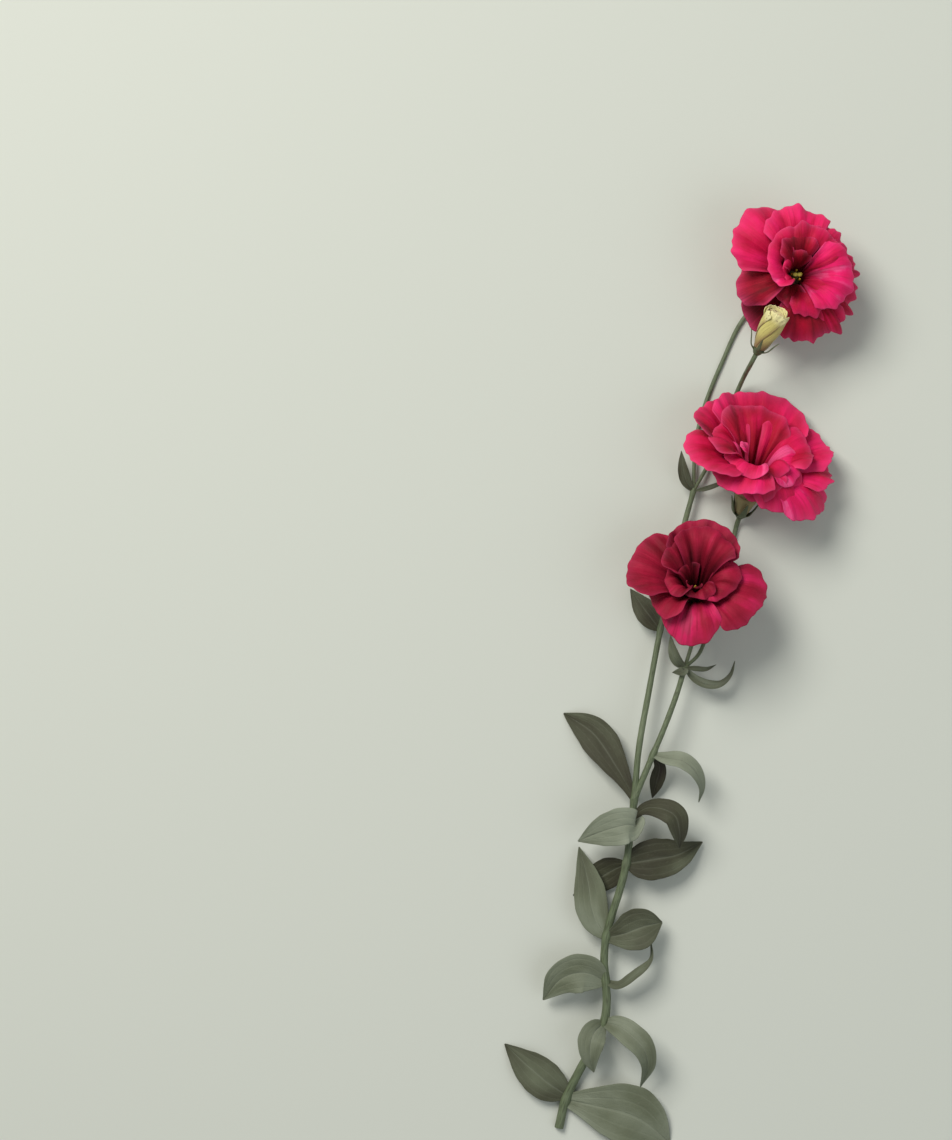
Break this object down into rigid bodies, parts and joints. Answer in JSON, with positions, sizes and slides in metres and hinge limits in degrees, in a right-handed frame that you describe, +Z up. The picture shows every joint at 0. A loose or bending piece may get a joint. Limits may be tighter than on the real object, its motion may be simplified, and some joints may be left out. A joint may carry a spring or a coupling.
{
  "type": "lisianthus flower",
  "caption": "Cut lisianthus stem lying down, with ruffled double pink blooms, a furled bud and curled grey-green leaves.",
  "frame": {"origin": "middle of the plant's footprint, on the surface that it lies on", "axes": "+Y along the stem from the cut end to the top bloom, +X across it, +Z up from the surface"},
  "size_m": [0.1846, 0.4918, 0.0557],
  "materials": {
    "stem": "smooth waxy green stem, paler than the leaves",
    "leaf": "matte grey-green waxy leaf with fine veins",
    "calyx": "matte green calyx and sepals",
    "petal_pink": "velvety magenta-pink petal with fine radial veins",
    "petal_crimson": "velvety deep crimson petal with a paler rim",
    "bud": "cream bud with pink-brown streaks",
    "heart": "yellow-green pistil and yellow stamens"
  },
  "bodies": {
    "root": {"main_stem": "stem", "leaf_foot_right": "leaf", "leaf_foot_left": "leaf", "leaf_low_arch": "leaf", "leaf_low_front": "leaf", "leaf_strip": "leaf", "leaf_pale": "leaf", "leaf_broad": "leaf", "leaf_ribbed": "leaf", "leaf_dark_right": "leaf", "leaf_dark_left": "leaf", "leaf_fork_front": "leaf", "leaf_fork_arch": "leaf", "leaf_fork_left": "leaf", "leaf_branch_arch": "leaf", "leaf_branch_hang": "leaf", "leaf_stalk": "leaf", "bract_low_left": "leaf", "bract_low_front": "leaf", "bract_low_right": "leaf", "bract_low_curl": "leaf", "bract_high_left": "leaf", "bract_high_right": "leaf", "bloom_low_petals": "petal_crimson", "bloom_low_calyx": "calyx", "bloom_low_heart": "heart", "bloom_side_petals": "petal_pink", "bloom_side_calyx": "calyx", "bloom_side_heart": "heart", "bloom_top_petals": "petal_pink", "bloom_top_calyx": "calyx", "bloom_top_heart": "heart", "bud_petals": "bud", "bud_calyx": "calyx"}
  },
  "joints": []
}
